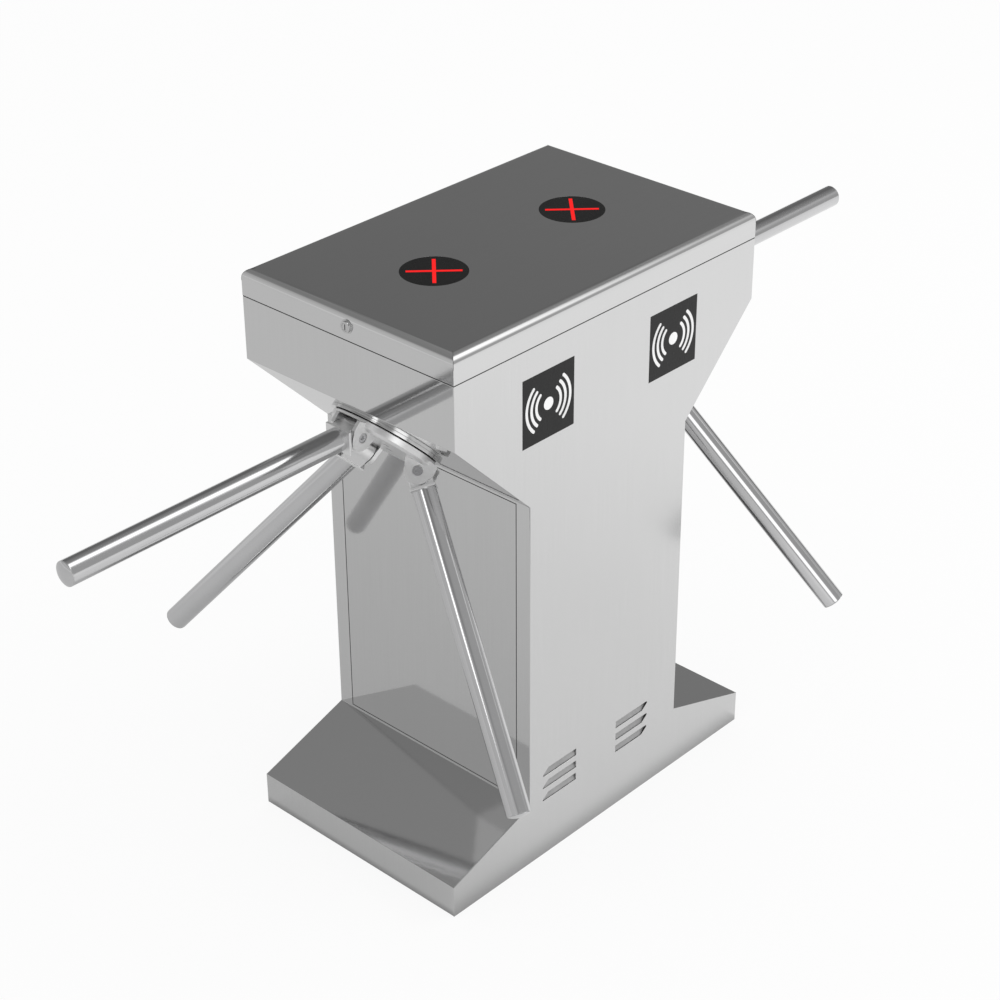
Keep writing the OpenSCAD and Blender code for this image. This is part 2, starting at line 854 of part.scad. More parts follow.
module solenoid() {
    difference() {
        box([plunger_x - solenoid_w / 2, plunger_x + solenoid_w / 2], [solenoid_y1 - solenoid_l, solenoid_y1], [rear_z0 - solenoid_h, rear_z0]);
        translate([plunger_x, 0, pawl_z0 + pawl_t / 2]) rod_y(plunger_r + 0.2, solenoid_y1 - solenoid_l + 4, solenoid_y1 + cut);
    }
}

module solenoids() {
    color("royalblue") both_heads() for (s = [0, 1]) mirror([0, s, 0]) solenoid();
}

module index_plungers() {
    color("goldenrod") both_heads() rotate([0, 0, index_angle]) translate([index_r, 0, 0]) {
        disc(4, gear_z1 + 1.2, rear_z1 + 8);
        disc(2, gear_z1 + 0.3, gear_z1 + 1.3);
        translate([0, 0, rear_z1]) cylinder(r = 6, h = 4, $fn = 6);
    }
}

module post_places() {
    for (s = [-1, 1]) translate([pawl_x, s * pawl_y, 0]) children();
}

module pawl_posts() {
    color("silver") both_heads() post_places() {
        disc(post_r, ratchet_z0 - 2, rear_z0);
        disc(post_r + 2, ratchet_z0 - 4, pawl_z0 - loose);
    }
}

module pawl_springs() {
    color("dimgray") both_heads() post_places() difference() {
        disc(spring_r, pawl_z0 + pawl_t + loose, rear_z0);
        disc(post_r + seat, pawl_z0, rear_z0 + cut);
    }
}

module sensor_board() {
    x = ratchet_r + 4;
    box([rear_x1 - 6, rear_x1 - 4.4], [-22, 22], [ratchet_z0 - 6, rear_z0]);
    box([x, rear_x1 - 6 + eps], [-7, 7], [ratchet_z0, ratchet_z1 - 1]);
}

module sensor_boards() {
    color("darkgreen") both_heads() sensor_board();
}

// Rotor

module hub_screw_places() {
    for (a = [60:120:300]) rotate([0, 0, a]) translate([hub_screw_at, 0, 0]) children();
}

module lug() {
    // plate in the arm's plane: a round head on the hinge pin and a root in the disc
    rotate([90, 0, 0]) linear_extrude(lug_t) {
        translate([pivot_r, pivot_h]) circle(lug_r);
        polygon([
            [pivot_r - lug_back, hub_z0 + hub_floor],
            [hub_r - 8, hub_z0 + 3],
            [pivot_r + lug_side, hub_z0 + 7],
            [pivot_r + lug_side, pivot_h - 1],
            [pivot_r + lug_r * 0.9, pivot_h + lug_r * 0.3],
            [pivot_r - lug_r * 0.9, pivot_h + lug_r * 0.3],
            [pivot_r - lug_back, pivot_h - 8]
        ]);
    }
}

module hub() {
    difference() {
        union() {
            rotate_extrude() polygon([
                [0, hub_z0], [hub_r - 1, hub_z0], [hub_r, hub_z0 + 1], [hub_r, hub_z1 - 4], [hub_r - 5, hub_z1], [0, hub_z1]
            ]);
            for (a = arm_angles) rotate([0, 0, a]) {
                translate([0, lug_out, 0]) lug();
                translate([0, -lug_in, 0]) lug();
            }
        }
        for (a = arm_angles) rotate([0, 0, a]) {
            // pocket for the arm's root
            box([pivot_r - arm_r - 4, pivot_r + lug_side + cut], [-lug_in, lug_in], [hub_z0 + hub_floor, pivot_h + lug_r + cut]);
            translate([pivot_r, 0, pivot_h]) {
                rod_y(pin_r + seat, -lug_out - cut, lug_out + cut);
                rod_y(pin_recess_r, lug_out - pin_recess, lug_out + cut);
                rod_y(pin_recess_r, -lug_out - cut, -lug_out + pin_recess);
            }
        }
        hub_screw_places() disc(4.1, hub_z0 - cut, hub_z1 + cut);
        hub_screw_places() disc(6.7, hub_z1 - 7, hub_z1 + cut);
    }
}

module hub_screws() {
    hub_screw_places() difference() {
        union() {
            disc(6.6, hub_z1 - 7, hub_z1 - 0.5);
            disc(4, hub_z0 - 12, hub_z1 - 6);
        }
        translate([0, 0, hub_z1 - 4]) cylinder(r = 3, h = 5, $fn = 6);
    }
}

module arm_pins() {
    pin_end = lug_out - pin_recess + 1.2;
    for (a = arm_angles) rotate([0, 0, a]) translate([pivot_r, 0, pivot_h]) difference() {
        union() {
            rod_y(pin_r, -pin_end, pin_end);
            rod_y(pin_recess_r - 0.5, pin_end - 1.2, pin_end);
            rod_y(pin_recess_r - 0.5, -pin_end, -pin_end + 1.2);
        }
        for (s = [-1, 1]) translate([0, s * pin_end, 0]) rotate([90, 0, 0]) cylinder(r = 3.5, h = 5, center = true, $fn = 6);
    }
}

module arm() {
    dome_r = (arm_r * arm_r + arm_dome * arm_dome) / (2 * arm_dome);
    tube_end = arm_l - arm_dome;
    translate([pivot_r, 0, pivot_h]) {
        // tongue between the lugs
        rotate([90, 0, 0]) linear_extrude(2 * tongue_half, center = true) difference() {
            union() {
                circle(arm_r);
                rotate(45) translate([0, 1 - arm_r]) square([arm_root - 1, 2 * arm_r - 2]);
            }
            circle(pin_r + run);
        }
        rotate([0, 45, 0]) {
            // shoulder that is flush with the lugs' outer faces
            box([-arm_r - 0.5, arm_r + 0.5], [-lug_out, lug_out], [arm_root - shoulder_t, arm_root]);
            // tube and its welded, domed end
            difference() {
                rotate_extrude() polygon(concat(
                    [[0, arm_root - 2], [arm_r, arm_root - 2]],
                    [for (i = [0:7]) let (r = arm_r * (1 - i / 8)) [r, arm_l - dome_r + sqrt(dome_r * dome_r - r * r)]],
                    [[0, arm_l - dome_r + sqrt(dome_r * dome_r - arm_r * arm_r / 64)]]
                ));
                disc(arm_r - arm_wall, arm_root, tube_end - arm_wall);
            }
        }
    }
}

module shaft() {
    difference() {
        union() {
            disc(shaft_r, shaft_z0, hub_z0);
            disc(shaft_flange_r, hub_z0 - shaft_flange_t, hub_z0);
        }
        hub_screw_places() disc(4.1, hub_z0 - 14, hub_z0 + cut);
    }
}

module drive_gear() {
    difference() {
        translate([0, 0, gear_z0]) linear_extrude(gear_t) polygon(gear_points(gear_teeth, gear_m, 0.12));
        disc(shaft_r + seat, gear_z0 - cut, gear_z1 + cut);
        // dimples for the index plunger, one for each rest position
        for (a = arm_angles) rotate([0, 0, a + index_angle]) translate([index_r, 0, gear_z1 + 2]) sphere(3);
    }
}

module ratchet_wheel() {
    difference() {
        union() {
            disc(ratchet_r, ratchet_z0, ratchet_z1);
            disc(shaft_r + 7, ratchet_z1 - eps, gear_z0);
        }
        disc(shaft_r + seat, ratchet_z0 - cut, gear_z0 + cut);
        for (a = [30:60:330]) rotate([0, 0, a])
            box([ratchet_r - notch_d, ratchet_r + cut], [-notch_w / 2, notch_w / 2], [ratchet_z0 - cut, ratchet_z1 + cut]);
    }
}

module damper_pinion() {
    translate([0, gear_span, 0]) {
        translate([0, 0, gear_z0]) rotate([0, 0, 180 / pinion_teeth]) linear_extrude(gear_t)
            polygon(gear_points(pinion_teeth, gear_m, 0.12));
        disc(damper_shaft_r, gear_z1 - eps, rear_z1 + 10);
    }
}

// Pawl on the +y side of the wheel, drawn clear of its notch
module pawl() {
    nose_y = ratchet_r + pawl_rest;
    translate([0, 0, pawl_z0]) linear_extrude(pawl_t) difference() {
        union() {
            translate([pawl_x, pawl_y]) circle(pawl_boss);
            polygon([
                [pawl_x, pawl_y + pawl_boss],
                [pawl_x, pawl_y - 2],
                [-nose_w / 2 - 2, nose_y + nose_l],
                [-nose_w / 2, nose_y],
                [nose_w / 2, nose_y],
                [nose_w / 2 + 1, nose_y + nose_l + 7],
                [-nose_w / 2 - 6, nose_y + nose_l + 9]
            ]);
            translate([plunger_x - 4, pawl_y - tail_w / 2]) square([tail_l + 4, tail_w]);
        }
        translate([pawl_x, pawl_y]) circle(post_r + run);
    }
}

module plunger() {
    translate([plunger_x, 0, pawl_z0 + pawl_t / 2]) {
        rod_y(plunger_tip_r, plunger_y - 4.5, plunger_y);
        rod_y(plunger_r, solenoid_y1 - solenoid_l + 6, plunger_y - 4);
    }
}

// The two lock pawls of a head face each other across the wheel
module pawl_side(out) {
    mirror([0, out, 0]) children();
}

// Nodes of the two heads

module left_hub() { color("silver") left_head() hub(); }
module left_hub_screws() { color("dimgray") left_head() hub_screws(); }
module left_arm_pins() { color("gray") left_head() arm_pins(); }
module left_arm_top() { color("whitesmoke") left_head() arm(); }
module left_arm_rear() { color("whitesmoke") left_head() rotate([0, 0, 120]) arm(); }
module left_arm_front() { color("whitesmoke") left_head() rotate([0, 0, -120]) arm(); }
module left_shaft() { color("gray") left_head() shaft(); }
module left_drive_gear() { color("goldenrod") left_head() drive_gear(); }
module left_ratchet_wheel() { color("slategray") left_head() ratchet_wheel(); }
module left_damper_pinion() { color("goldenrod") left_head() damper_pinion(); }
module left_pawl_in() { color("gray") left_head() pawl_side(0) pawl(); }
module left_pawl_out() { color("gray") left_head() pawl_side(1) pawl(); }
module left_plunger_in() { color("silver") left_head() pawl_side(0) plunger(); }
module left_plunger_out() { color("silver") left_head() pawl_side(1) plunger(); }

module right_hub() { color("silver") right_head() hub(); }
module right_hub_screws() { color("dimgray") right_head() hub_screws(); }
module right_arm_pins() { color("gray") right_head() arm_pins(); }
module right_arm_top() { color("whitesmoke") right_head() arm(); }
module right_arm_front() { color("whitesmoke") right_head() rotate([0, 0, 120]) arm(); }
module right_arm_rear() { color("whitesmoke") right_head() rotate([0, 0, -120]) arm(); }
module right_shaft() { color("gray") right_head() shaft(); }
module right_drive_gear() { color("goldenrod") right_head() drive_gear(); }
module right_ratchet_wheel() { color("slategray") right_head() ratchet_wheel(); }
module right_damper_pinion() { color("goldenrod") right_head() damper_pinion(); }
module right_pawl_in() { color("gray") right_head() pawl_side(0) pawl(); }
module right_pawl_out() { color("gray") right_head() pawl_side(1) pawl(); }
module right_plunger_in() { color("silver") right_head() pawl_side(0) plunger(); }
module right_plunger_out() { color("silver") right_head() pawl_side(1) plunger(); }

base_plate();
front_panel();
rear_panel();
left_end_skin();
right_end_skin();
top_rim();
left_access_panel();
right_access_panel();
panel_clips();
reader_windows();
reader_boards();
electronics_panel();
control_board();
power_supply();
terminal_block();
lid();
lid_hinges();
indicator_lenses();
indicator_boards();
lid_lock_body();
lid_lock_plug();
hub_flanges();
flange_screws();
carrier_plates();
bearing_housings();
bearings();
dampers();
solenoids();
index_plungers();
pawl_posts();
pawl_springs();
sensor_boards();
left_hub();
left_hub_screws();
left_arm_pins();
left_arm_top();
left_arm_rear();
left_arm_front();
left_shaft();
left_drive_gear();
left_ratchet_wheel();
left_damper_pinion();
left_pawl_in();
left_pawl_out();
left_plunger_in();
left_plunger_out();
right_hub();
right_hub_screws();
right_arm_pins();
right_arm_top();
right_arm_rear();
right_arm_front();
right_shaft();
right_drive_gear();
right_ratchet_wheel();
right_damper_pinion();
right_pawl_in();
right_pawl_out();
right_plunger_in();
right_plunger_out();
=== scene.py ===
# Looks for the tripod turnstile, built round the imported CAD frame.
# Lengths are in metres and named angles in degrees. A light level of 1 is white.
import json
import math

import bmesh
import bpy
from mathutils import Matrix, Vector

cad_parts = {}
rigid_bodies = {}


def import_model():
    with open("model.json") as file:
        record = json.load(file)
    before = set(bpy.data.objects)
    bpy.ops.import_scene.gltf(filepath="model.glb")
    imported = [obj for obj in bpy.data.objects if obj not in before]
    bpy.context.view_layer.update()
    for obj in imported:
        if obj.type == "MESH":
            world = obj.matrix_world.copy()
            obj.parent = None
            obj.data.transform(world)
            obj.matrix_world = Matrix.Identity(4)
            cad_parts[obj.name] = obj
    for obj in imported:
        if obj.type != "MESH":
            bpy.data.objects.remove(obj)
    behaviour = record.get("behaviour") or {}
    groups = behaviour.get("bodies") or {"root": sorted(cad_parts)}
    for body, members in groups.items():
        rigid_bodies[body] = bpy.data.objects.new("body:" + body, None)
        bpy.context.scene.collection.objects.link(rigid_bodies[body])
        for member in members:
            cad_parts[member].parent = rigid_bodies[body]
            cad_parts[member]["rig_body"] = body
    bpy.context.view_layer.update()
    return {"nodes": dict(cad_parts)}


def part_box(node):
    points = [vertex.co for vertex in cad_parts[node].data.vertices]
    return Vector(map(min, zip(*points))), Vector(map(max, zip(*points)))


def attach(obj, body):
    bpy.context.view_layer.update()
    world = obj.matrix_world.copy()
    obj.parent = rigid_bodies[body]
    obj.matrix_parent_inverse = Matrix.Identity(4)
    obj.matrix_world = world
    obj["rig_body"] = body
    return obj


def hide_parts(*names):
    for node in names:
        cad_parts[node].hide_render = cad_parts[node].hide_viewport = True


# Camera, fitted to the 1000 x 1000 photograph: its place, its aim, its focal length in pixels
FRAME_PX = 1000.0
CAM_POS = Vector((-2.3494, -2.1809, 2.4073))
CAM_AZ, CAM_EL, CAM_ROLL = -46.954, 30.471, -0.34
CAM_F_PX = 2299.0
SENSOR_MM = 36.0
CLIP_END = 60.0

# Sizes that the dressed pieces share with the solids
HUB_X, HUB_Z, HEAD_TILT = 0.261, 0.752, -135
PIVOT_R, PIVOT_H, ARM_TILT = 0.072, 0.031, 45
ARM_R, ARM_L, ARM_ROOT, ARM_DOME = 0.019, 0.531, 0.027, 0.005
HALF_W, HEAD_HALF, WAIST_HALF, FOOT_HALF, TOTAL_H = 0.218, 0.340, 0.182, 0.359, 0.980
SHEET = 0.002
LID_H, LID_R, SEAM = 0.044, 0.015, 0.0016
WINDOW_X, WINDOW_Z = 0.143, 0.833
INDICATOR_X = 0.154
SIDES = ("left", "right")

# Cleaning of CAD meshes: vertices closer than this are merged, before and after the rounding,
# faces that meet within the flat angle are joined, and edges above the sharp one are rounded
MERGE, MERGE_ROUNDED = 2e-6, 1e-6
FLAT_ANGLE, SHARP_ANGLE = 0.3, 35.0
# Shading: the angle up to which an edge is smooth, and how much the larger faces lead
SMOOTH_ANGLE, FACE_WEIGHT = 30.0, 80


def make_camera():
    az, el, roll = (math.radians(v) for v in (CAM_AZ, CAM_EL, CAM_ROLL))
    back = Vector((math.sin(az) * math.cos(el), -math.cos(az) * math.cos(el), math.sin(el)))
    level = (-back).cross(Vector((0, 0, 1))).normalized()
    upright = level.cross(-back)
    right = math.cos(roll) * level + math.sin(roll) * upright
    up = -math.sin(roll) * level + math.cos(roll) * upright
    data = bpy.data.cameras.new("camera")
    data.sensor_fit = "HORIZONTAL"
    data.sensor_width = SENSOR_MM
    data.lens = SENSOR_MM * CAM_F_PX / FRAME_PX
    data.clip_end = CLIP_END
    cam = bpy.data.objects.new("camera", data)
    bpy.context.scene.collection.objects.link(cam)
    place = Matrix((right, up, back)).transposed().to_4x4()
    place.translation = CAM_POS
    cam.matrix_world = place
    bpy.context.scene.camera = cam


make_camera()
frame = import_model()


# Materials


def grey(level):
    return (level, level, level)


def tint(colour, factor):
    return tuple(min(1.0, v * factor) for v in colour)


class Nodes:
    """A node tree with short helpers. Each one gives back the socket to go on from."""

    def __init__(self, tree):
        self.tree = tree
        tree.nodes.clear()

    def node(self, kind, **values):
        n = self.tree.nodes.new(kind)
        for k, v in values.items():
            setattr(n, k, v)
        return n

    def link(self, a, b):
        self.tree.links.new(a, b)

    def feed(self, socket, value):
        """Sets a socket to a number or a colour, or links another socket to it."""
        if isinstance(value, (int, float)):
            socket.default_value = value
        elif isinstance(value, tuple):
            socket.default_value = (*value, 1)
        else:
            self.link(value, socket)

    def mix(self, fac, a, b, mode="MIX"):
        """Mixes colours, which this node takes at inputs 6 and 7 and gives at output 2."""
        n = self.node("ShaderNodeMix", data_type="RGBA", blend_type=mode)
        for i, value in ((0, fac), (6, a), (7, b)):
            self.feed(n.inputs[i], value)
        return n.outputs[2]

    def mix_level(self, fac, a, b):
        """Mixes plain numbers, which it takes at inputs 2 and 3 and gives at output 0."""
        n = self.node("ShaderNodeMix", data_type="FLOAT")
        for i, value in ((0, fac), (2, a), (3, b)):
            self.feed(n.inputs[i], value)
        return n.outputs[0]

    def maths(self, operation, *values):
        n = self.node("ShaderNodeMath", operation=operation)
        for socket, value in zip(n.inputs, values):
            self.feed(socket, value)
        return n.outputs[0]

    def product(self, first, *others):
        result = first
        for level in others:
            result = self.maths("MULTIPLY", result, level)
        return result

    def dot(self, vector, direction):
        n = self.node("ShaderNodeVectorMath", operation="DOT_PRODUCT")
        n.inputs[1].default_value = direction
        self.link(vector, n.inputs[0])
        return n.outputs["Value"]

    def axes(self, vector):
        n = self.node("ShaderNodeSeparateXYZ")
        self.link(vector, n.inputs[0])
        return n.outputs["X"], n.outputs["Y"], n.outputs["Z"]

    def fade(self, value, start_end, levels, interpolation="SMOOTHSTEP"):
        """Goes from the first level to the second while the value goes from start to end."""
        n = self.node("ShaderNodeMapRange", interpolation_type=interpolation)
        for k, v in zip(("From Min", "From Max", "To Min", "To Max"), (*start_end, *levels)):
            n.inputs[k].default_value = v
        self.link(value, n.inputs["Value"])
        return n.outputs[0]

    def ramp(self, fac, stops):
        """Colour ramp of two or more stops, each a position with a colour or a grey level."""
        n = self.node("ShaderNodeValToRGB")
        elements = n.color_ramp.elements
        while len(elements) < len(stops):
            elements.new(0.5)
        for e, (position, c) in zip(elements, stops):
            e.position = position
            e.color = (*(c if isinstance(c, tuple) else grey(c)), 1)
        self.link(fac, n.inputs[0])
        return n.outputs[0]


class Mat(Nodes):
    """A material round one Principled shader."""

    def __init__(self, name):
        self.mat = bpy.data.materials.new(name)
        self.mat.use_nodes = True
        super().__init__(self.mat.node_tree)
        self.out = self.node("ShaderNodeOutputMaterial")
        self.bsdf = self.node("ShaderNodeBsdfPrincipled")
        self.link(self.bsdf.outputs[0], self.out.inputs[0])

    def surface(self, colour, rough, **values):
        """Base colour and roughness, and the shader's other values by name, with _ for a space."""
        self.feed(self.bsdf.inputs["Base Color"], colour)
        self.feed(self.bsdf.inputs["Roughness"], rough)
        for k, v in values.items():
            self.bsdf.inputs[k.replace("_", " ")].default_value = v

    def coords(self, scale):
        """The object's coordinates, scaled by one number or by one for each axis."""
        mapping = self.node("ShaderNodeMapping")
        mapping.inputs["Scale"].default_value = scale if isinstance(scale, tuple) else (scale,) * 3
        self.link(self.node("ShaderNodeTexCoord").outputs["Object"], mapping.inputs["Vector"])
        return mapping.outputs[0]

    def noise(self, scale, detail=3.0, rough=0.55):
        n = self.node("ShaderNodeTexNoise")
        n.inputs["Scale"].default_value = 1.0
        n.inputs["Detail"].default_value = detail
        n.inputs["Roughness"].default_value = rough
        self.link(self.coords(scale), n.inputs["Vector"])
        return n.outputs["Fac"]

    def tones(self, pattern, colour, *stops):
        """The colour with its brightness set by the pattern. Each stop is a position and a factor."""
        return self.ramp(pattern, [(position, tint(colour, factor)) for position, factor in stops])

    def wear(self, pattern, rough, low, high):
        """The roughness, which the pattern takes from low to high times its value."""
        return self.fade(pattern, (0.0, 1.0), (rough * low, rough * high), "LINEAR")

    def bump(self, height, strength, distance):
        n = self.node("ShaderNodeBump")
        n.inputs["Strength"].default_value = strength
        n.inputs["Distance"].default_value = distance
        self.link(height, n.inputs["Height"])
        self.link(n.outputs[0], self.bsdf.inputs["Normal"])


def brushed(name, colour, rough, grain, spread, depth=0.04):
    """Brushed or satin metal. grain is the noise scale, lowest along the brushing."""
    m = Mat(name)
    streaks = m.noise(grain, detail=4.0, rough=0.6)
    clouds = m.noise(3.0, detail=2.0)
    smears = m.noise((9.0, 9.0, 5.0), detail=4.0, rough=0.65)
    m.surface(m.tones(m.mix(0.25, streaks, clouds), colour, (0.35, 1 - spread), (0.65, 1 + spread)),
              m.wear(m.mix(0.5, streaks, smears), rough, 0.75, 1.25), Metallic=1.0)
    m.bump(streaks, strength=depth, distance=0.0002)
    return m.mat


def polished(name, colour, rough):
    """Polished steel: faint drawn lines and a few softer smears."""
    m = Mat(name)
    smears = m.noise(14.0, detail=4.0, rough=0.6)
    m.surface(m.tones(smears, colour, (0.3, 0.96), (0.7, 1.0)), m.wear(smears, rough, 0.8, 1.25),
              Metallic=1.0)
    m.bump(m.noise(700.0, detail=2.0), strength=0.001, distance=0.00002)
    return m.mat


def smoked(name, colour, rough):
    """Smoked window or lens with a little dust and faint wipe marks."""
    m = Mat(name)
    dust = m.noise(260.0, detail=2.0)
    wipes = m.noise((30.0, 30.0, 8.0), detail=4.0, rough=0.6)
    m.surface(m.tones(dust, colour, (0.45, 1.0), (0.8, 1.35)), m.wear(wipes, rough, 0.7, 1.5),
              Specular_IOR_Level=0.16)
    return m.mat


def painted(name, colour, rough, metallic, grain, depth):
    """Paint, casting or moulding with a fine orange-peel grain."""
    m = Mat(name)
    peel = m.noise(grain)
    m.surface(m.tones(m.noise(20.0), colour, (0.3, 0.88), (0.7, 1.08)), m.wear(peel, rough, 0.8, 1.25),
              Metallic=metallic)
    m.bump(peel, strength=depth, distance=0.0003)
    return m.mat


def board(name):
    """Circuit board: solder mask with copper runs and tinned pads."""
    m = Mat(name)
    brick = m.node("ShaderNodeTexBrick", offset=0.5)
    for k, v in (("Color1", (0.010, 0.085, 0.035)), ("Color2", (0.014, 0.12, 0.05)),
                 ("Mortar", (0.05, 0.24, 0.09)), ("Mortar Size", 0.045),
                 ("Scale", 1.0), ("Brick Width", 1.3), ("Row Height", 0.42)):
        m.feed(brick.inputs[k], v)
    m.link(m.coords(160.0), brick.inputs["Vector"])
    dots = m.node("ShaderNodeTexVoronoi")
    dots.inputs["Scale"].default_value = 1.0
    m.link(m.coords(210.0), dots.inputs["Vector"])
    pads = m.ramp(dots.outputs["Distance"], [(0.12, 1.0), (0.16, 0.0)])
    tin = (0.62, 0.62, 0.58)
    m.surface(m.mix(pads, brick.outputs["Color"], tin), m.fade(pads, (0.0, 1.0), (0.38, 0.28), "LINEAR"))
    m.link(pads, m.bsdf.inputs["Metallic"])
    m.bump(pads, strength=0.3, distance=0.0003)
    return m.mat


def lit(name, colour, strength):
    """Lit light guide: a dull plastic of one strong colour that glows in that colour."""
    m = Mat(name)
    cells = m.noise(400.0, detail=1.0)
    m.surface(m.tones(cells, colour, (0.3, 0.2), (0.7, 0.25)), m.wear(cells, 0.5, 1.0, 1.2),
              Emission_Color=(*colour, 1), Emission_Strength=strength, Specular_IOR_Level=0.1)
    return m.mat


# Noise scales of the brushed sheets: upright streaks, and streaks along X
UPRIGHT, ALONG_X = (900.0, 900.0, 6.0), (6.0, 900.0, 900.0)

MATS = {
    # brushed and polished: colour, roughness, then grain, spread of tone and depth
    "side": brushed("steel_side", grey(0.63), 0.20, UPRIGHT, 0.02),
    "end": brushed("steel_end", grey(0.62), 0.05, UPRIGHT, 0.02),
    "panel": brushed("steel_access_panel", grey(0.59), 0.05, UPRIGHT, 0.02),
    "lid": brushed("steel_lid", grey(0.63), 0.10, ALONG_X, 0.02),
    "hub": brushed("steel_hub", grey(0.75), 0.34, 260.0, 0.03),
    "flange": brushed("steel_flange", grey(0.55), 0.14, 320.0, 0.03),
    "screw": brushed("steel_screw", (0.16, 0.16, 0.165), 0.28, 500.0, 0.08),
    "ground": brushed("steel_ground", (0.52, 0.52, 0.53), 0.22, 600.0, 0.06),
    "hardened": brushed("steel_hardened", (0.16, 0.165, 0.18), 0.30, 400.0, 0.12),
    "spring": brushed("steel_spring", (0.13, 0.135, 0.15), 0.34, (1200.0, 60.0, 1200.0), 0.3, 0.6),
    "brass": brushed("brass", (0.56, 0.37, 0.12), 0.24, 500.0, 0.08),
    "aluminium": brushed("aluminium_case", (0.50, 0.51, 0.52), 0.32, (40.0, 700.0, 700.0), 0.05),
    "tube": polished("polished_tube", (0.58, 0.58, 0.585), 0.12),
    "bearing": polished("bearing_steel", (0.60, 0.61, 0.63), 0.12),
    "nickel": polished("nickel", grey(0.58), 0.26),
    # painted: colour, roughness, metallic, grain, depth
    # painted shade: the louvres' darker, half-metallic grey stands in for the shade behind the sheet
    "fin": painted("louvre_painted_shade", grey(0.46), 0.55, 0.5, 500.0, 0.02),
    "galvanised": painted("zinc_steel", (0.34, 0.36, 0.38), 0.36, 0.85, 60.0, 0.05),
    "casting": painted("painted_casting", (0.10, 0.13, 0.16), 0.5, 0.0, 220.0, 0.4),
    "terminal": painted("terminal_moulding", (0.20, 0.21, 0.22), 0.42, 0.0, 300.0, 0.1),
    "solenoid": painted("solenoid_enamel", (0.015, 0.035, 0.16), 0.3, 0.0, 120.0, 0.08),
    "damper": painted("damper_paint", grey(0.012), 0.35, 0.0, 160.0, 0.1),
    "print": painted("white_print", grey(0.97), 0.5, 0.0, 500.0, 0.02),
    "seal": painted("black_seal", grey(0.012), 0.6, 0.0, 400.0, 0.2),
    "window": smoked("smoked_window", grey(0.016), 0.25),
    "lens": smoked("smoked_lens", grey(0.009), 0.25),
    "board": board("circuit_board"),
    "red": lit("indicator_red", (1.0, 0.012, 0.012), 0.8),
}


# Meshes


def shade(obj, angle):
    """Smooth shading with sharp edges above the angle, kept in the mesh."""
    bm = bmesh.new()
    bm.from_mesh(obj.data)
    limit = math.radians(angle)
    for f in bm.faces:
        f.smooth = True
    for e in bm.edges:
        e.smooth = len(e.link_faces) == 2 and e.calc_face_angle(0.0) < limit
    bm.to_mesh(obj.data)
    bm.free()
    # flat faces stay flat beside their rounded edges
    mod = obj.modifiers.new("weighted", "WEIGHTED_NORMAL")
    mod.keep_sharp = True
    mod.weight = FACE_WEIGHT


def new_object(name, bm, mat, body, smooth=SMOOTH_ANGLE):
    mesh = bpy.data.meshes.new(name)
    bm.to_mesh(mesh)
    bm.free()
    mesh.materials.append(MATS[mat])
    obj = bpy.data.objects.new(name, mesh)
    bpy.context.scene.collection.objects.link(obj)
    shade(obj, smooth)
    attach(obj, body)
    return obj


def cad_mesh(node):
    """A copy of a CAD node's mesh, with its double vertices merged."""
    bm = bmesh.new()
    bm.from_mesh(frame["nodes"][node].data)
    bmesh.ops.remove_doubles(bm, verts=bm.verts, dist=MERGE)
    return bm


def join_flats(bm):
    bmesh.ops.dissolve_limit(bm, angle_limit=math.radians(FLAT_ANGLE), verts=bm.verts, edges=bm.edges)


def round_edges(bm, width, segments, keep=None):
    """Rounds the sharp edges that keep lets through, or all of them."""
    limit = math.radians(SHARP_ANGLE)
    sharp = [e for e in bm.edges
             if len(e.link_faces) == 2 and e.calc_face_angle(0.0) > limit and (keep is None or keep(e))]
    bmesh.ops.bevel(bm, geom=sharp, offset=width, segments=segments, affect="EDGES",
                    profile=0.5, clamp_overlap=True)


def from_cad(node, mat, slot, width=0.0, segments=2, keep=None):
    """A cleaned copy of a CAD node with its outer edges rounded, which stands for the node."""
    bm = cad_mesh(node)
    join_flats(bm)
    if width > 0:
        round_edges(bm, width, segments, keep)
    bmesh.ops.remove_doubles(bm, verts=bm.verts, dist=MERGE_ROUNDED)
    obj = new_object("dressed_" + node, bm, mat, frame["nodes"][node]["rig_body"])
    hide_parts(node)
    return obj


def wall(bm, low, high):
    """Quads between two closed loops of vertices of the same count."""
    for i in range(len(low)):
        j = (i + 1) % len(low)
        bm.faces.new((low[i], low[j], high[j], high[i]))


def lathe(bm, profile, steps, matrix):
    """Turns a profile of (radius, height) about Z. A radius of 0 is a pole."""
    rings = []
    for r, z in profile:
        angles = (2 * math.pi * i / steps for i in range(steps)) if r > 0 else (0.0,)
        rings.append([bm.verts.new(matrix @ Vector((r * math.cos(a), r * math.sin(a), z))) for a in angles])
    for low, high in zip(rings, rings[1:]):
        if len(low) == len(high):
            wall(bm, low, high)
            continue
        for i in range(steps):
            j = (i + 1) % steps
            bm.faces.new((low[0], high[j], high[i]) if len(low) == 1 else (low[i], low[j], high[0]))


def slab(bm, outline, thickness, matrix):
    """Flat plate from a closed outline."""
    low, high = ([bm.verts.new(matrix @ Vector((x, y, z))) for x, y in outline] for z in (0, thickness))
    bm.faces.new(list(reversed(low)))
    bm.faces.new(high)
    wall(bm, low, high)


def rectangle(x0, x1, y0, y1):
    return [(x0, y0), (x1, y0), (x1, y1), (x0, y1)]


def ring(bm, outer, inner, place):
    """Frame between two closed outlines of the same count. place makes a point of (u, v, depth 0 or 1)."""
    o0, i0, o1, i1 = ([bm.verts.new(place(u, v, depth)) for u, v in line]
                      for depth in (0, 1) for line in (outer, inner))
    for low, high in ((o0, i0), (i0, i1), (i1, o1), (o1, o0)):
        wall(bm, low, high)
    bmesh.ops.recalc_face_normals(bm, faces=bm.faces)


def dress(*rows):
    """Dresses one node for each row of node, material, slot, rounding and the rounding's segments."""
    for row in rows:
        from_cad(*row)


# Cabinet shell

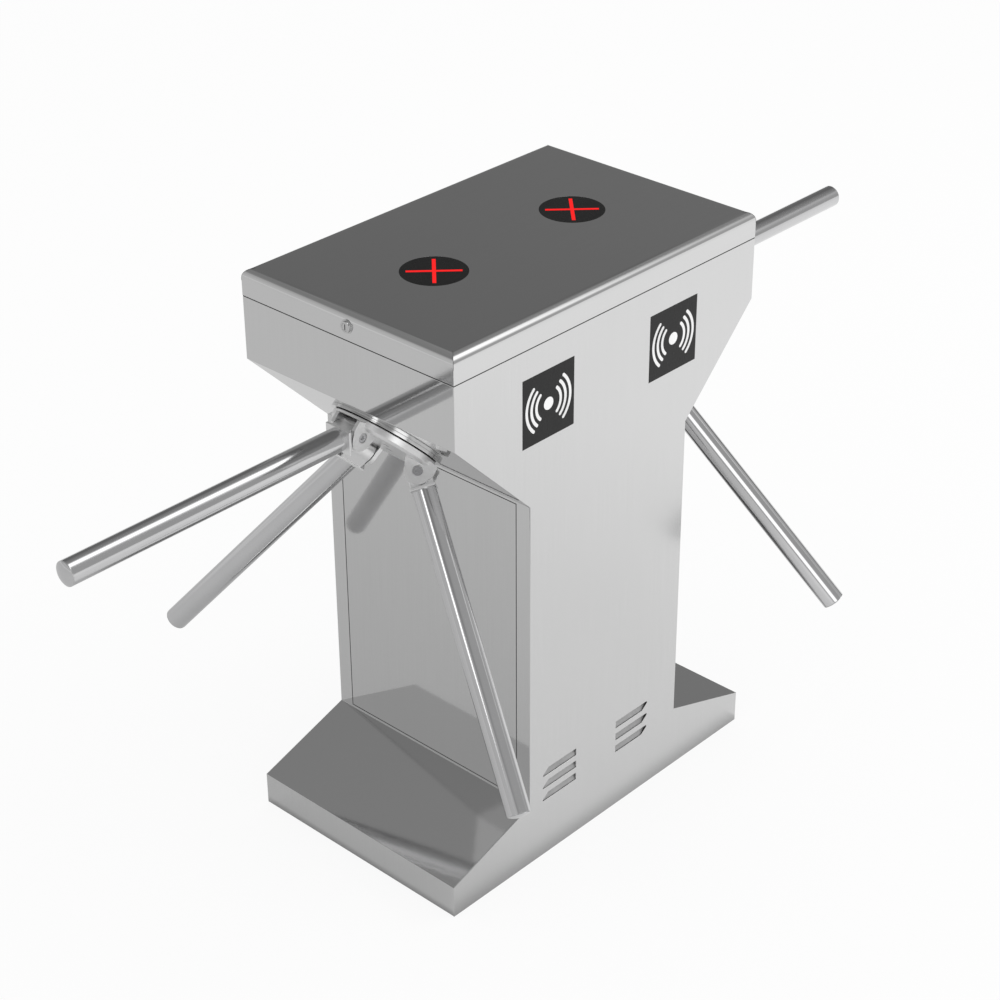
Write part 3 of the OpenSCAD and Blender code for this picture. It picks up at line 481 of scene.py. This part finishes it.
# A fold is longer across the cabinet than this, and a point is in a face within this distance
FOLD_LENGTH, TOUCH = 0.05, 0.0001
# The louvres end below this height, and a face that looks this much along Y is part of a flat sheet
LOUVRE_TOP, SHEET_FACE = 0.2, 0.999


def on_fold(e):
    """Edges that run across the cabinet."""
    a, b = e.verts
    return abs(a.co.y - b.co.y) > FOLD_LENGTH


def on_face(side):
    """Edges in the outer face of a long side."""
    return lambda e: all(side * v.co.y > HALF_W - TOUCH for v in e.verts)


def shade_louvres(obj, side):
    """The pressed louvres lie in the shade of the sheet in front of them, so their faces behind the sheet
    get a darker, half-metallic grey: painted shade.
    """
    inside = HALF_W - SHEET
    mesh = obj.data
    mesh.materials.append(MATS["fin"])
    for f in mesh.polygons:
        behind = (side * f.center.y < inside - TOUCH
                  and max(side * mesh.vertices[v].co.y for v in f.vertices) < inside + TOUCH)
        if behind and f.center.z < LOUVRE_TOP and abs(f.normal.y) < SHEET_FACE:
            f.material_index = 1


def dress_shell():
    for name, side in (("front_panel", -1), ("rear_panel", 1)):
        shade_louvres(from_cad(name, "side", "stainless_panel", 0.0007, 2, on_face(side)), side)
    for name in SIDES:
        from_cad(f"{name}_end_skin", "end", "stainless_panel", 0.0008, 2, on_fold)
    for name in SIDES:
        from_cad(f"{name}_access_panel", "panel", "stainless_panel", 0.0004, 2)
    dress(
        ("lid", "lid", "stainless_lid", 0.0005, 2),
        ("base_plate", "galvanised", "galvanised_steel", 0.0006, 2),
        ("top_rim", "galvanised", "galvanised_steel", 0.0004, 1),
        ("lid_hinges", "ground", "ground_steel", 0.0004, 2),
        ("lid_lock_body", "nickel", "lock_nickel", 0.0004, 2),
        ("lid_lock_plug", "nickel", "lock_nickel", 0.0002, 1),
        ("panel_clips", "galvanised", "galvanised_steel", 0.0003, 1),
    )


# Black sponge seals in the seams, and black strips in the open mitres at the lid's corners, a painted shade
# of those gaps

# Seals: how deep they are, their play in the seam, and how far they lie below the surface
SEAL_DEPTH, SEAL_GAP = 0.0016, 0.00005
PANEL_SEAL_SINK, LID_SEAL_SINK = 0.0004, 0.0005
# Mitres: steps over the fillet, their start below it, half their width, and their height and depth
MITRE_STEPS, MITRE_START = 16, 0.004
MITRE_HALF, MITRE_PROUD, MITRE_DEEP = 0.00028, 0.00012, 0.0005


def dress_seals():
    for name, side in (("left", -1), ("right", 1)):
        lo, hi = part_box(f"{name}_access_panel")
        reach = SEAM - SEAL_GAP
        face = side * (WAIST_HALF - PANEL_SEAL_SINK)
        bm = bmesh.new()
        ring(bm, rectangle(lo.y - reach, hi.y + reach, lo.z - reach, hi.z + reach),
             rectangle(lo.y, hi.y, lo.z, hi.z),
             lambda u, v, d: Vector((face - side * SEAL_DEPTH * d, u, v)))
        new_object(f"{name}_panel_seal", bm, "seal", f"{name}_panel")
    a, b = HEAD_HALF - LID_SEAL_SINK, HALF_W - LID_SEAL_SINK
    a_in, b_in = a - SEAL_DEPTH, b - SEAL_DEPTH
    bottom = TOTAL_H - LID_H - SEAM / 2 + SEAL_GAP
    bm = bmesh.new()
    ring(bm, rectangle(-a, a, -b, b), rectangle(-a_in, a_in, -b_in, b_in),
         lambda u, v, d: Vector((u, v, bottom + (SEAM - 2 * SEAL_GAP) * d)))
    new_object("lid_seal", bm, "seal", "cabinet")


def mitre_path(sx, sy):
    """Points from below the lid's fillet at one corner, up and over it."""
    path = []
    for i in range(MITRE_STEPS + 1):
        turn = math.pi / 2 * i / MITRE_STEPS
        inward = LID_R * (1 - math.cos(turn))
        rise = LID_R * math.sin(turn)
        path.append(Vector((sx * (HEAD_HALF - inward), sy * (HALF_W - inward), TOTAL_H - LID_R + rise)))
    return [path[0] - Vector((0, 0, MITRE_START))] + path


def dress_mitres():
    # painted shade: black seal strips fill the open mitres, where only the gaps' shade would be
    w = MITRE_HALF
    section = ((w, MITRE_PROUD), (-w, MITRE_PROUD), (-w, -MITRE_DEEP), (w, -MITRE_DEEP))
    bm = bmesh.new()
    for sx in (-1, 1):
        for sy in (-1, 1):
            path = mitre_path(sx, sy)
            across = Vector((-sx * sy, 1, 0)).normalized()
            loops = []
            for p, before, after in zip(path, path[:1] + path, path[1:] + path[-1:]):
                out = across.cross((after - before).normalized()).normalized()
                if out.dot(Vector((sx, sy, 1))) < 0:
                    out = -out
                loops.append([bm.verts.new(p + across * u + out * v) for u, v in section])
            for low, high in zip(loops, loops[1:]):
                wall(bm, low, high)
            bm.faces.new(loops[0])
            bm.faces.new(list(reversed(loops[-1])))
    bmesh.ops.recalc_face_normals(bm, faces=bm.faces)
    new_object("lid_mitre_shade_strips", bm, "seal", "lid")


def dress_inside():
    dress(
        ("electronics_panel", "galvanised", "galvanised_steel", 0.0004, 1),
        ("power_supply", "aluminium", "aluminium_case", 0.0008, 2),
        ("terminal_block", "terminal", "terminal_plastic", 0.0005, 1),
        ("control_board", "board", "circuit_board", 0.0002, 1),
        ("reader_boards", "board", "circuit_board", 0.0002, 1),
        ("indicator_boards", "board", "circuit_board", 0.0002, 1),
        ("sensor_boards", "board", "circuit_board", 0.0002, 1),
        ("carrier_plates", "galvanised", "galvanised_steel", 0.0006, 1),
        ("bearing_housings", "casting", "cast_housing", 0.0008, 2),
        ("bearings", "bearing", "bearing_steel", 0.0003, 1),
        ("dampers", "damper", "damper_can", 0.0008, 2),
        ("solenoids", "solenoid", "solenoid_can", 0.0008, 2),
        ("index_plungers", "ground", "ground_steel", 0.0002, 1),
        ("pawl_posts", "hardened", "hardened_steel", 0.0003, 1),
        ("pawl_springs", "spring", "spring_steel"),
    )
    for s in SIDES:
        dress(
            (f"{s}_shaft", "ground", "ground_steel", 0.0006, 2),
            (f"{s}_drive_gear", "brass", "brass_gear"),
            (f"{s}_damper_pinion", "brass", "brass_gear"),
            (f"{s}_ratchet_wheel", "hardened", "hardened_steel", 0.0004, 1),
            (f"{s}_pawl_in", "hardened", "hardened_steel", 0.0003, 1),
            (f"{s}_plunger_in", "ground", "ground_steel", 0.0003, 1),
            (f"{s}_pawl_out", "hardened", "hardened_steel", 0.0003, 1),
            (f"{s}_plunger_out", "ground", "ground_steel", 0.0003, 1),
        )


# Windows and indicators, with raised prints that start a little below the surface

# Thicknesses, then the reader's mark of a dot and three waves on both sides, then the indicator's cross
PRINT_T, CROSS_T, PRINT_SUNK = 0.0002, 0.0003, 0.0001
DOT_R, DOT_STEPS = 0.0102, 48
WAVE_RADII, WAVE_WIDTH, WAVE_HALF = (0.0265, 0.037, 0.0475), 0.0052, 47
WAVE_STEPS, WAVE_END_STEPS = 24, 8
CROSS_ARM, CROSS_HALF = 0.042, 0.0029


def arc(centre, r, start, turn, steps):
    """Points on an arc from the angle start on through turn, both ends included."""
    angles = (start + turn * i / steps for i in range(steps + 1))
    return [(centre[0] + r * math.cos(a), centre[1] + r * math.sin(a)) for a in angles]


def wave_outline(r, flip):
    """Outline of an arc of radius r with round ends, which bulges to +X, or to -X if flipped."""
    half, w = math.radians(WAVE_HALF), WAVE_WIDTH / 2
    x, y = r * math.cos(half), r * math.sin(half)
    points = arc((0, 0), r + w, half, -2 * half, WAVE_STEPS)
    points += arc((x, -y), w, -half, -math.pi, WAVE_END_STEPS)[1:-1]
    points += arc((0, 0), r - w, -half, 2 * half, WAVE_STEPS)
    points += arc((x, y), w, half + math.pi, -math.pi, WAVE_END_STEPS)[1:-1]
    return [(-px, py) for px, py in reversed(points)] if flip else points


def dress_windows():
    dress(
        ("reader_windows", "window", "smoked_window", 0.0003, 2),
        ("indicator_lenses", "lens", "smoked_window", 0.0003, 2),
    )
    bm = bmesh.new()
    for turn in (0, math.pi):
        for x in (-WINDOW_X, WINDOW_X):
            m = (Matrix.Rotation(turn, 4, "Z") @ Matrix.Translation((x, -HALF_W + PRINT_SUNK, WINDOW_Z))
                 @ Matrix.Rotation(math.pi / 2, 4, "X"))
            slab(bm, arc((0, 0), DOT_R, 0.0, 2 * math.pi, DOT_STEPS)[:-1], PRINT_T, m)
            for r in WAVE_RADII:
                for flip in (False, True):
                    slab(bm, wave_outline(r, flip), PRINT_T, m)
    new_object("reader_marks", bm, "print", "cabinet")
    a, b = CROSS_ARM, CROSS_HALF
    cross = [(-a, -b), (-b, -b), (-b, -a), (b, -a), (b, -b), (a, -b),
             (a, b), (b, b), (b, a), (-b, a), (-b, b), (-a, b)]
    bm = bmesh.new()
    for x in (-INDICATOR_X, INDICATOR_X):
        slab(bm, cross, CROSS_T,
             Matrix.Translation((x, 0, TOTAL_H - PRINT_SUNK)) @ Matrix.Rotation(math.pi / 4, 4, "Z"))
    new_object("indicator_crosses", bm, "red", "lid")


# Heads

# The arm's tube: its lap over the root, its first ring above the root, and its last one below the cap
TUBE_LAP, TUBE_FIRST, TUBE_LAST = 0.002, 0.02, 0.003
TUBE_RINGS, DOME_RINGS, TUBE_STEPS, TUBE_SMOOTH = 12, 10, 96, 40.0
# The seam under the cap: its heights below the cap, its depth, and how much smaller the cap's radius is
SEAM_TOP, SEAM_BOTTOM, SEAM_EDGES = 0.0001, 0.0013, (0.0009, 0.0005)
SEAM_DEEP, CAP_LESS = 0.0004, 0.0002
# What is cut off the CAD's arm: faces that reach above the root, and the tube's bore with its floor
CUT_TOUCH, CUT_ABOVE = 1e-5, 0.001
BORE_FLOOR, BORE_WALL = 0.0055, 0.0012
ROOT_ROUNDING, ROOT_SEGMENTS = 0.0011, 3


def head_matrix(side):
    m = Matrix.Translation((-HUB_X, 0, HUB_Z)) @ Matrix.Rotation(math.radians(HEAD_TILT), 4, "Y")
    return Matrix.Rotation(math.pi, 4, "Z") @ m if side == "right" else m


def arm_matrix(side, deg):
    """Places an arm that runs along Z from its hinge pin."""
    turned = head_matrix(side) @ Matrix.Rotation(math.radians(deg), 4, "Z")
    pin = turned @ Matrix.Translation((PIVOT_R, 0, PIVOT_H))
    return pin @ Matrix.Rotation(math.radians(ARM_TILT), 4, "Y")


def tube_profile():
    """The tube, the fine seam where the domed cap meets it, and the cap, as (radius, height)."""
    end = ARM_L - ARM_DOME
    dome = (ARM_R ** 2 + ARM_DOME ** 2) / (2 * ARM_DOME)
    first, last = ARM_ROOT + TUBE_FIRST, end - TUBE_LAST
    profile = [(0, ARM_ROOT - TUBE_LAP), (ARM_R, ARM_ROOT - TUBE_LAP)]
    profile += [(ARM_R, first + (last - first) * i / TUBE_RINGS) for i in range(TUBE_RINGS + 1)]
    profile.append((ARM_R, end - SEAM_BOTTOM))
    profile += [(ARM_R - SEAM_DEEP, end - edge) for edge in SEAM_EDGES]
    cap_r = ARM_R - CAP_LESS
    profile.append((cap_r, end - SEAM_TOP))
    for i in range(1, DOME_RINGS + 1):
        r = cap_r * (1 - i / DOME_RINGS)
        profile.append((r, ARM_L - dome + math.sqrt(dome ** 2 - r ** 2)))
    return profile


def root_mesh(node, to_arm):
    """The CAD's tongue and shoulder, cut off where the tube starts, with rounded edges."""
    bm = cad_mesh(node)
    cut = []
    for f in bm.faces:
        at = [to_arm @ v.co for v in f.verts]
        lowest, highest = min(p.z for p in at), max(p.z for p in at)
        tube = lowest > ARM_ROOT - CUT_TOUCH and highest > ARM_ROOT + CUT_ABOVE
        bore = lowest > ARM_ROOT - BORE_FLOOR and max(math.hypot(p.x, p.y) for p in at) < ARM_R - BORE_WALL
        if tube or bore:
            cut.append(f)
    bmesh.ops.delete(bm, geom=cut, context="FACES")
    bmesh.ops.holes_fill(bm, edges=[e for e in bm.edges if len(e.link_faces) == 1], sides=0)
    join_flats(bm)
    round_edges(bm, ROOT_ROUNDING, ROOT_SEGMENTS)
    return bm


def dress_arm(side, name, deg):
    node = f"{side}_arm_{name}"
    body = frame["nodes"][node]["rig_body"]
    place = arm_matrix(side, deg)
    bm = bmesh.new()
    lathe(bm, tube_profile(), TUBE_STEPS, place)
    obj = new_object(f"{node}_tube", bm, "tube", body, TUBE_SMOOTH)
    root = new_object(f"{node}_root", root_mesh(node, place.inverted()), "hub", body)
    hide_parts(node)
    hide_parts(node)


def dress_heads():
    dress(
        ("hub_flanges", "flange", "hub_steel", 0.0006, 2),
        ("flange_screws", "screw", "screw_steel", 0.0002, 1),
    )
    for side, third in (("left", 120), ("right", -120)):
        dress(
            (f"{side}_hub", "hub", "hub_steel", 0.0008, 2),
            (f"{side}_hub_screws", "screw", "screw_steel", 0.0003, 1),
            (f"{side}_arm_pins", "ground", "screw_steel", 0.0003, 1),
        )
        for name, deg in (("top", 0), ("rear", third), ("front", -third)):
            dress_arm(side, name, deg)


# Studio

FLOOR_HALF = 14.0
# Share of the floor's own glow that metal and glass see, and that the camera sees; the rest is lit paint
FLOOR_IN_METAL, FLOOR_IN_CAMERA = 0.55, 0.88
# Painted shadow: the dark level of the floor's glow under the cabinet, and the dimmer painted shade near
# the foot's ends
PAINTED_SHADOW_UNDER, PAINTED_SHADE_NEAR_FOOT = 0.35, 0.84
# The studio is brighter towards +X and -Y; the floor's glow takes this as a painted light gradient
DIAGONAL = (0.7071, -0.7071, 0)
# Other directions in the world: the far right, across the wide light and its place, and the small light
FAR_RIGHT = (0.88, 0.47, 0)
WIDE_LIGHT, WIDE_AT = (1.6, 1.0, 0), 0.64
SMALL_LIGHT = (-0.35, -0.89, 0.28)
# Level of the world for matt surfaces, and the even levels that metal sees on the -X and -Y sides
MATT_LEVEL, LEFT_LEVEL, FRONT_LEVEL = 0.93, 0.78, 0.50
# Levels over the height of the direction, and the darker ones towards the far right
SKY = ((0.0, 1.0), (0.10, 0.66), (0.52, 0.63), (0.60, 0.36), (0.70, 0.32), (0.80, 0.35), (1.0, 0.42))
SKY_FAR = ((0.0, 0.25), (0.40, 0.21), (0.52, 0.176), (0.62, 0.22), (0.72, 0.32), (0.80, 0.35), (1.0, 0.42))


def make_floor():
    bm = bmesh.new()
    bmesh.ops.create_grid(bm, x_segments=2, y_segments=2, size=FLOOR_HALF)
    mesh = bpy.data.meshes.new("floor")
    bm.to_mesh(mesh)
    bm.free()
    floor = bpy.data.objects.new("floor", mesh)
    bpy.context.scene.collection.objects.link(floor)
    m = Mat("floor_paint")
    m.surface(grey(0.86), 0.9, Specular_IOR_Level=0.0)
    # the camera, metal and glass see the floor near white, under the object's shadow
    paths = m.node("ShaderNodeLightPath").outputs
    camera = paths["Is Camera Ray"]
    mirrored = m.maths("MAXIMUM", paths["Is Glossy Ray"], paths["Is Transmission Ray"])
    share = m.maths("MAXIMUM", m.product(mirrored, FLOOR_IN_METAL), m.product(camera, FLOOR_IN_CAMERA))
    # painted shadow in the glow that metal sees: dark under the cabinet, a little dimmer near the foot's
    # ends, and painted light brighter towards +X and -Y
    where = m.node("ShaderNodeTexCoord").outputs["Object"]
    x, y, _ = m.axes(where)
    x, y = m.maths("ABSOLUTE", x), m.maths("ABSOLUTE", y)
    beside = m.fade(y, (HALF_W - 0.01, HALF_W + 0.04), (PAINTED_SHADOW_UNDER, 1.0))
    past_foot = m.fade(x, (FOOT_HALF - 0.002, FOOT_HALF + 0.012), (0.0, 1.0), "LINEAR")
    level = m.product(m.fade(m.dot(where, DIAGONAL), (-0.25, 0.25), (0.62, 1.18)),
                      m.maths("MAXIMUM", beside, past_foot), m.fade(x, (0.36, 1.2), (PAINTED_SHADE_NEAR_FOOT, 1.0)))
    glow = m.node("ShaderNodeEmission")
    m.feed(glow.inputs["Color"], grey(1))
    m.link(m.mix_level(camera, level, 1.0), glow.inputs["Strength"])
    both = m.node("ShaderNodeMixShader")
    m.link(share, both.inputs[0])
    m.link(m.bsdf.outputs[0], both.inputs[1])
    m.link(glow.outputs[0], both.inputs[2])
    m.link(both.outputs[0], m.out.inputs[0])
    mesh.materials.append(m.mat)


def make_world():
    """Metal sees a grey gradient with soft lights, matt surfaces an even light, and the camera white."""
    world = bpy.data.worlds.new("studio")
    bpy.context.scene.world = world
    world.use_nodes = True
    w = Nodes(world.node_tree)
    way = w.node("ShaderNodeTexCoord").outputs["Generated"]
    x, y, z = w.axes(way)
    above = w.maths("GREATER_THAN", z, 0.0)
    far = w.product(w.fade(w.dot(way, FAR_RIGHT), (0.60, 0.80), (0.0, 1.0)), above)
    tone = w.mix(far, w.ramp(z, SKY), w.ramp(z, SKY_FAR))
    # the -X side is even up to half height, as the lid's left fillet and the left access panel show
    horizon = w.fade(z, (0.0, 0.06), (0.0, 1.0))
    left = w.product(w.fade(x, (-0.75, -0.55), (1.0, 0.0)), horizon, w.fade(z, (0.55, 0.72), (1.0, 0.0)))
    tone = w.mix(left, tone, grey(LEFT_LEVEL))
    # and so is the -Y side, as the front arms show
    front = w.product(w.fade(y, (-0.60, -0.35), (1.0, 0.0)), horizon, w.fade(z, (0.80, 0.95), (1.0, 0.0)))
    tone = w.mix(front, tone, grey(FRONT_LEVEL))
    tone = w.mix(1.0, tone, w.fade(w.dot(way, DIAGONAL), (-0.35, 0.35), (0.85, 1.0)), "MULTIPLY")
    # a wide soft light high on the near right, as the long highlights on the fillet and the top arm show
    off = w.maths("ABSOLUTE", w.maths("SUBTRACT", w.dot(way, WIDE_LIGHT), WIDE_AT))
    wide = w.product(w.fade(off, (0.08, 0.36), (1.9, 0.0)), w.fade(x, (0.58, 0.76), (1.0, 0.0)),
                     w.fade(x, (0.30, 0.45), (0.0, 1.0)), w.fade(z, (0.25, 0.45), (0.0, 1.0)))
    # and a small one low in front, in the right head's front arm
    small = w.fade(w.dot(way, SMALL_LIGHT), (0.945, 0.985), (0.0, 1.4))
    tone = w.mix(1.0, tone, w.maths("ADD", wide, small), "ADD")
    paths = w.node("ShaderNodeLightPath").outputs
    tone = w.mix(paths["Is Diffuse Ray"], tone, grey(MATT_LEVEL))
    tone = w.mix(paths["Is Camera Ray"], tone, grey(1))
    background = w.node("ShaderNodeBackground")
    background.inputs["Strength"].default_value = 1.0
    w.link(tone, background.inputs["Color"])
    w.link(background.outputs[0], w.node("ShaderNodeOutputWorld").inputs[0])
    # soft and even enough to need no samples of its own
    world.cycles.sampling_method = "NONE"


def area(name, loc, target, size, power, glossy):
    """A soft rectangular lamp. Metal mirrors it only where glossy is set."""
    data = bpy.data.lights.new(name, "AREA")
    data.shape = "RECTANGLE"
    data.size, data.size_y = size
    data.energy = power
    obj = bpy.data.objects.new(name, data)
    obj.location = loc
    obj.rotation_euler = (Vector(target) - Vector(loc)).to_track_quat("-Z", "Y").to_euler()
    obj.visible_glossy = glossy
    bpy.context.scene.collection.objects.link(obj)


dress_shell()
dress_seals()
dress_mitres()
dress_inside()
dress_windows()
dress_heads()
make_floor()
make_world()
area("key", loc=(2.6, -2.1, 3.3), target=(0, 0, 0.7), size=(2.6, 0.8), power=30.0, glossy=False)
area("fill", loc=(-3.4, -0.6, 3.0), target=(0, 0, 0.6), size=(0.7, 1.8), power=7.0, glossy=True)
bpy.context.scene.view_settings.view_transform = "Standard"
